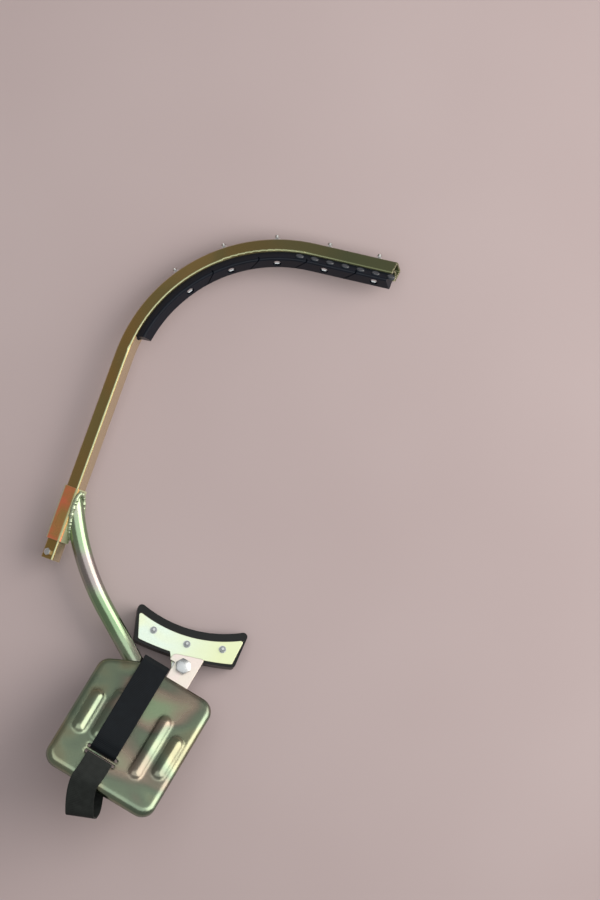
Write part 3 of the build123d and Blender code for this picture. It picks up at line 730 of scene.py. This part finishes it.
seam_line = [seam_point(math.radians(angle)) for angle in range(0, 361, 2)]
seam_middle = sum(seam_line, Vector()) / len(seam_line)
sleeve_seam = []
for point, run in spaced(seam_line, BEAD_PITCH * MM):
    away = point - seam_middle
    outward = (away - run * away.dot(run)).normalized() * SEAM_SPLAY + LINED_LEG
    sleeve_seam.append((point + LINED_LEG * SEAM_LIFT * MM, run, outward.normalized()))
sleeve_bead = weld_bead("sleeve_bead", SLEEVE_BEAD_RADIUS, sleeve_seam)
edit(sleeve_bead, "FACE")
bpy.ops.mesh.select_all(action="SELECT")
bpy.ops.mesh.bisect(plane_co=SLEEVE_SIDE, plane_no=LINED_LEG, use_fill=True, clear_inner=True)
bpy.ops.object.mode_set(mode="OBJECT")

# Beads between the foot tube and the plate's underside
TUBE_ENTRY = foot_point(-38.3, 85.5, -13.6)
TUBE_RISE = math.radians(13.124)
RUN_HEADING = math.radians(-41)
TUBE_UNDER = (
    Vector((math.cos(RUN_HEADING), math.sin(RUN_HEADING), 0)) * math.cos(TUBE_RISE)
    + UP * math.sin(TUBE_RISE)
)
CREASE_ASIDE, CREASE_UP = 7.9, 9.0
CREASE_LEAN = 0.5
CREASE_START = 36
CREASE_RIPPLES = 18
BEAD_SIDE = PLATE_NORMAL.cross(TUBE_UNDER).normalized()
plate_seams = []
for side in (-1, 1):
    crease = TUBE_ENTRY + (BEAD_SIDE * CREASE_ASIDE * side + PLATE_NORMAL * CREASE_UP) * MM
    outward = (BEAD_SIDE * side - PLATE_NORMAL * CREASE_LEAN).normalized()
    for count in range(CREASE_RIPPLES):
        step = (CREASE_START + count * BEAD_PITCH) * MM
        plate_seams.append((crease + TUBE_UNDER * step, TUBE_UNDER, outward))
plate_beads = weld_bead("plate_beads", PLATE_BEAD_RADIUS, plate_seams)

# Hook's line: leg, bend and tip, measured back from the tip's end
BEND_RADIUS = 195.0
LEG_TO_BEND = 236
BEND_MIDDLE = Vector((LEG_X + BEND_RADIUS * MM, SLEEVE_LOW_Y + LEG_TO_BEND * MM, LEG_Z))
BEND_TURN = math.radians(83)
TIP_LENGTH = 107.0

# Threads and heads
THREAD_ROOT = 0.82
THREAD_POINT = 0.3
CHAMFER_CIRCLE = 0.47
CHAMFER_SLOPE = math.radians(30)
HEAD_ROUNDING = 0.6
CROSS_WIDTH = 0.16
CROSS_REACH = 0.2


def hook_place(from_tip_mm):
    """Placing matrix on the hook's centre line: X along the tube, Z out of the lined side."""
    if from_tip_mm < TIP_LENGTH:
        turn = math.pi / 2 - BEND_TURN
        beyond = TIP_LENGTH - from_tip_mm
    else:
        turn = math.pi / 2 - BEND_TURN + (from_tip_mm - TIP_LENGTH) / BEND_RADIUS
        beyond = 0.0
    run = Vector((math.cos(turn), math.sin(turn), 0))
    outward = Vector((-run.y, run.x, 0))
    point = BEND_MIDDLE + outward * BEND_RADIUS * MM + run * beyond * MM
    lined = -outward * math.cos(HOOK_ROLL) + UP * math.sin(HOOK_ROLL)
    return axes(point, run, lined.cross(run), lined)


def grow_shank(screw, head_mm, shank_mm, length_mm, thread_mm, pitch_mm):
    """Draws a shank with a threaded end out of the underside of a head."""
    pick(screw, "FACE", lambda face: face.normal.z < -0.9)
    bpy.ops.mesh.inset(thickness=(head_mm - shank_mm) / 2 * MM)
    plain = (length_mm - thread_mm) * MM
    bpy.ops.mesh.extrude_region_move(TRANSFORM_OT_translate={"value": (0, 0, -plain)})
    for ridge in range(int(thread_mm / pitch_mm)):
        for size in (THREAD_ROOT, 1 / THREAD_ROOT):
            bpy.ops.mesh.extrude_region_move(
                TRANSFORM_OT_translate={"value": (0, 0, -pitch_mm / 2 * MM)}
            )
            bpy.ops.transform.resize(value=(size, size, 1))
    bpy.ops.mesh.extrude_region_move(TRANSFORM_OT_translate={"value": (0, 0, -THREAD_POINT * MM)})
    bpy.ops.transform.resize(value=(THREAD_ROOT, THREAD_ROOT, 1))
    bpy.ops.object.mode_set(mode="OBJECT")


# Bolts with a hexagon head, chamfered to a circle on top
def hexagon_bolt(name, shank_mm, length_mm, across_mm, head_height_mm, thread_mm, pitch_mm):
    """Bolt with its head's seat at the origin, a corner of the head on X and its shank pointing down."""
    corner_mm = across_mm / math.sqrt(3)
    chamfer_mm = corner_mm - CHAMFER_CIRCLE * across_mm
    rise_mm = chamfer_mm * math.tan(CHAMFER_SLOPE)
    side_mm = head_height_mm - rise_mm
    clear_selection()
    bpy.ops.mesh.primitive_cylinder_add(
        vertices=48, radius=corner_mm * MM, depth=side_mm * MM, location=(0, 0, side_mm / 2 * MM)
    )
    bolt = start_piece(name)
    pick(bolt, "FACE", lambda face: face.normal.z > 0.9)
    bpy.ops.mesh.inset(thickness=chamfer_mm * MM, depth=rise_mm * MM)
    bpy.ops.object.mode_set(mode="OBJECT")
    grow_shank(bolt, 2 * corner_mm, shank_mm, length_mm, thread_mm, pitch_mm)
    clear_selection()
    bpy.ops.mesh.primitive_cylinder_add(
        vertices=6, radius=corner_mm * MM, depth=4 * length_mm * MM, rotation=(0, 0, math.radians(30))
    )
    hexagon = start_piece("hexagon_cutter")
    apply_modifier(bolt, "BOOLEAN", operation="INTERSECT", object=hexagon, solver="EXACT")
    bpy.data.objects.remove(hexagon)
    return bolt


# Screws with a rounded head, a cross recess and a threaded end
def crossed_screw(name, shank_mm, length_mm, head_mm, head_height_mm, thread_mm, pitch_mm):
    """Screw with its head's seat at the origin and its shank pointing down."""
    clear_selection()
    bpy.ops.mesh.primitive_cylinder_add(
        vertices=32,
        radius=head_mm / 2 * MM,
        depth=head_height_mm * MM,
        location=(0, 0, head_height_mm / 2 * MM),
    )
    screw = start_piece(name)
    top = head_height_mm * MM
    pick(screw, "EDGE", lambda edge: all(v.co.z > top * 0.9 for v in edge.verts))
    bpy.ops.mesh.bevel(offset=head_height_mm * HEAD_ROUNDING * MM, segments=5, affect="EDGES")
    bpy.ops.object.mode_set(mode="OBJECT")
    grow_shank(screw, head_mm, shank_mm, length_mm, thread_mm, pitch_mm)
    clear_selection()
    bpy.ops.mesh.primitive_cube_add(size=head_mm * CROSS_WIDTH * MM, location=(0, 0, top))
    cross = start_piece("cross_cutter")
    for axis in ((1, 0, 0), (-1, 0, 0), (0, 1, 0), (0, -1, 0)):
        pick(cross, "FACE", lambda face: face.normal.dot(Vector(axis)) > 0.9)
        bpy.ops.mesh.extrude_region_move(
            TRANSFORM_OT_translate={"value": Vector(axis) * head_mm * CROSS_REACH * MM}
        )
        bpy.ops.object.mode_set(mode="OBJECT")
    apply_modifier(screw, "BOOLEAN", operation="DIFFERENCE", object=cross, solver="EXACT")
    bpy.data.objects.remove(cross)
    return screw


HOOK_SCREW_SEAT = 17.0
FIRST_SCREW = 29
SCREW_SPACING = 61
SCREW_STOPS = [FIRST_SCREW + index * SCREW_SPACING for index in range(5)]
hook_screw = crossed_screw(
    "crossed_hook_screws",
    shank_mm=5.0,
    length_mm=35.5,
    head_mm=9.5,
    head_height_mm=3.0,
    thread_mm=6.4,
    pitch_mm=0.8,
)
hook_screw_places = [
    hook_place(stop) @ Matrix.Translation((0, 0, HOOK_SCREW_SEAT * MM)) for stop in SCREW_STOPS
]
hook_screws = copy_to(hook_screw, hook_screw_places)

# Bumper's own frame: across it, towards the pole and up along the pivot
PIVOT = Vector((0.0620424, -0.171035, 0.0333484))
PIVOT_TILT = math.radians(12)
BUMPER_TURN = math.radians(15.5)
PIVOT_FRONT = LEVEL_FRONT * math.cos(PIVOT_TILT) - UP * math.sin(PIVOT_TILT)
PIVOT_UP = LEVEL_FRONT * math.sin(PIVOT_TILT) + UP * math.cos(PIVOT_TILT)
BUMPER_ACROSS = PLATE_ACROSS * math.cos(BUMPER_TURN) + PIVOT_FRONT * math.sin(BUMPER_TURN)
BUMPER_PLACE = axes(PIVOT, BUMPER_ACROSS, PIVOT_UP.cross(BUMPER_ACROSS), PIVOT_UP)
POLE_MIDDLE = 198.0
BUMPER_SHIFT = -2.2
BUMPER_SCREW_SEAT = -10.4
BUMPER_SCREW_ROW = 169.0
bumper_screw = crossed_screw(
    "crossed_bumper_screws",
    shank_mm=4.0,
    length_mm=15.4,
    head_mm=8.0,
    head_height_mm=2.6,
    thread_mm=2.8,
    pitch_mm=0.7,
)
bumper_screw_places = []
for across in (-43.0, 0.0, 43.0):
    ahead = POLE_MIDDLE - math.sqrt(BUMPER_SCREW_ROW**2 - across**2)
    bumper_screw_places.append(
        BUMPER_PLACE
        @ Matrix.Translation(((across + BUMPER_SHIFT) * MM, ahead * MM, BUMPER_SCREW_SEAT * MM))
        @ Matrix.Rotation(math.pi, 4, "X")
    )
bumper_screws = copy_to(bumper_screw, bumper_screw_places)

# Bolt of the pivot, its head on the lug, and the stop bolt through the leg's end
LUG_TOP = 6.7
STOP_BELOW_SLEEVE = 16
LEG_HALF = 9.0
pivot_hexagon = hexagon_bolt(
    "pivot_hexagon_bolt",
    shank_mm=10.0,
    length_mm=24.5,
    across_mm=17.0,
    head_height_mm=6.5,
    thread_mm=4.5,
    pitch_mm=1.5,
)
LUG_PLACE = axes(
    PIVOT + PIVOT_UP * LUG_TOP * MM, PLATE_ACROSS, PIVOT_UP.cross(PLATE_ACROSS), PIVOT_UP
)
pivot_hexagon.data.transform(LUG_PLACE)
stop_hexagon = hexagon_bolt(
    "stop_hexagon_bolt",
    shank_mm=5.0,
    length_mm=23.7,
    across_mm=8.0,
    head_height_mm=3.5,
    thread_mm=4.0,
    pitch_mm=0.8,
)
ALONG_LEG = Vector((0, 1, 0))
STOP_PLACE = axes(
    Vector((LEG_X, SLEEVE_LOW_Y - STOP_BELOW_SLEEVE * MM, LEG_Z)) + NEAR_LEG * LEG_HALF * MM,
    ALONG_LEG,
    NEAR_LEG.cross(ALONG_LEG),
    NEAR_LEG,
)
stop_hexagon.data.transform(STOP_PLACE)

# Nubs on the lining's upper flank, from the middle screw to the tip
NUB_RADIUS = 5.0
NUB_DEPTH = 4.0
NUB_ROUNDING = 1.6
NUB_RIM = 1.0
NUB_DISH = 0.5
NUB_NARROWING = 0.62
NUB_COUNT = 7
FIRST_NUB = 10
NUB_SPACING = 18.8
FLANK_ASIDE, FLANK_UP = 8.0, 14.6
FLANK_LEAN = math.atan2(3.5, 12.5)
clear_selection()
bpy.ops.mesh.primitive_cylinder_add(vertices=24, radius=NUB_RADIUS * MM, depth=NUB_DEPTH * MM)
nub = start_piece("lining_nubs")
pick(nub, "EDGE", lambda edge: all(v.co.z > 0 for v in edge.verts))
bpy.ops.mesh.bevel(offset=NUB_ROUNDING * MM, segments=4, affect="EDGES")
bpy.ops.object.mode_set(mode="OBJECT")
pick(nub, "FACE", lambda face: face.normal.z > 0.9)
bpy.ops.mesh.inset(thickness=NUB_RIM * MM)
bpy.ops.transform.translate(value=(0, 0, -NUB_DISH * MM))
bpy.ops.mesh.select_all(action="SELECT")
bpy.ops.transform.resize(value=(1.0, NUB_NARROWING, 1.0))
bpy.ops.object.mode_set(mode="OBJECT")
nub_places = []
for stop in range(NUB_COUNT):
    flank = (
        hook_place(FIRST_NUB + stop * NUB_SPACING)
        @ Matrix.Translation((0, FLANK_ASIDE * MM, FLANK_UP * MM))
        @ Matrix.Rotation(-math.pi / 2 - FLANK_LEAN, 4, "X")
    )
    nub_places.append(flank)
lining_nubs = copy_to(nub, nub_places)

# Finishes and bodies of the new pieces
finish_piece(instep_webbing, "foot_frame", "webbing", instep_weave, "instep_strap")
finish_piece(heel_webbing, "foot_frame", "webbing", heel_weave, "heel_strap")
finish_piece(sleeve_bead, "foot_frame", "weld", weld_zinc, "sleeve_weld")
finish_piece(plate_beads, "foot_frame", "weld", weld_zinc, "plate_welds")
finish_piece(hook_screws, "hook", "white_zinc", screw_zinc, "hook_screws")
finish_piece(bumper_screws, "bumper", "white_zinc", bolt_zinc, "bumper_screws")
finish_piece(lining_nubs, "hook", "rubber", nub_rubber)
finish_piece(pivot_hexagon, "foot_frame", "white_zinc", bolt_zinc, "pivot_bolt")
finish_piece(stop_hexagon, "hook", "white_zinc", screw_zinc, "stop_bolt")

# Camera straight above, at the photo's turn
VIEW_MIDDLE = (0.10541, 0.12263, 0.031)
VIEW_HEIGHT = 1.08
CAMERA_DISTANCE = 12.0
CAMERA_TURN = math.radians(20)
SENSOR_MM = 36.0
camera_data = bpy.data.cameras.new("camera")
camera_data.sensor_width = SENSOR_MM
camera_data.lens = SENSOR_MM * CAMERA_DISTANCE / VIEW_HEIGHT
camera = bpy.data.objects.new("camera", camera_data)
camera.location = Vector(VIEW_MIDDLE) + UP * CAMERA_DISTANCE
camera.rotation_euler = (0, 0, CAMERA_TURN)
bpy.context.scene.collection.objects.link(camera)
bpy.context.scene.camera = camera

# Floor and soft light, in metres and watts
FLOOR_RADIUS = 6.0
WORLD_STRENGTH = 0.32
clear_selection()
bpy.ops.mesh.primitive_circle_add(vertices=96, radius=FLOOR_RADIUS, fill_type="NGON", location=(0, 0, 0))
floor = bpy.context.object
floor.name = "floor"
floor.data.materials.append(floor_paint)

finishes = {
    "hook_tube": hook_zinc,
    "sleeve": sleeve_zinc,
    "foot_tube": tube_zinc,
    "foot_plate": plate_zinc,
    "bumper_plate": bumper_zinc,
    "bumper_lug": lug_zinc,
    "hook_lining": lining_rubber,
    "bumper_rubber": pad_rubber,
    "pivot_bush": bush_bronze,
    "hook_washers": screw_zinc,
    "hook_nuts": screw_zinc,
    "stop_nut": bolt_zinc,
    "thrust_washer": bolt_zinc,
    "pivot_washer": bolt_zinc,
    "pivot_nut": bolt_zinc,
    "bumper_washers": bolt_zinc,
    "bumper_nuts": nut_zinc,
}
for name, finish in finishes.items():
    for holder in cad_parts[name].material_slots:
        holder.material = finish


def soft_light(name, place, aim, width, power, tint):
    """Square studio light that faces a point."""
    lamp = bpy.data.lights.new(name, "AREA")
    lamp.size = width
    lamp.energy = power
    lamp.color = linear(tint)[:3]
    holder = bpy.data.objects.new(name, lamp)
    holder.location = place
    holder.rotation_euler = (Vector(aim) - Vector(place)).to_track_quat("-Z", "Y").to_euler()
    bpy.context.scene.collection.objects.link(holder)


soft_light(
    "overhead_light", place=(0.1, 0.45, 2.0), aim=(0.1, 0.45, 0), width=2.0, power=13, tint="FFFFFF"
)
soft_light(
    "right_light", place=(2.1, 1.15, 1.55), aim=(0.05, 0.05, 0.05), width=2.6, power=74, tint="FFF6EE"
)

world = bpy.data.worlds.new("plain_studio")
world.use_nodes = True
background = world.node_tree.nodes["Background"]
background.inputs["Color"].default_value = linear("F4EEEA")
background.inputs["Strength"].default_value = WORLD_STRENGTH
bpy.context.scene.world = world
bpy.context.scene.view_settings.view_transform = "Standard"
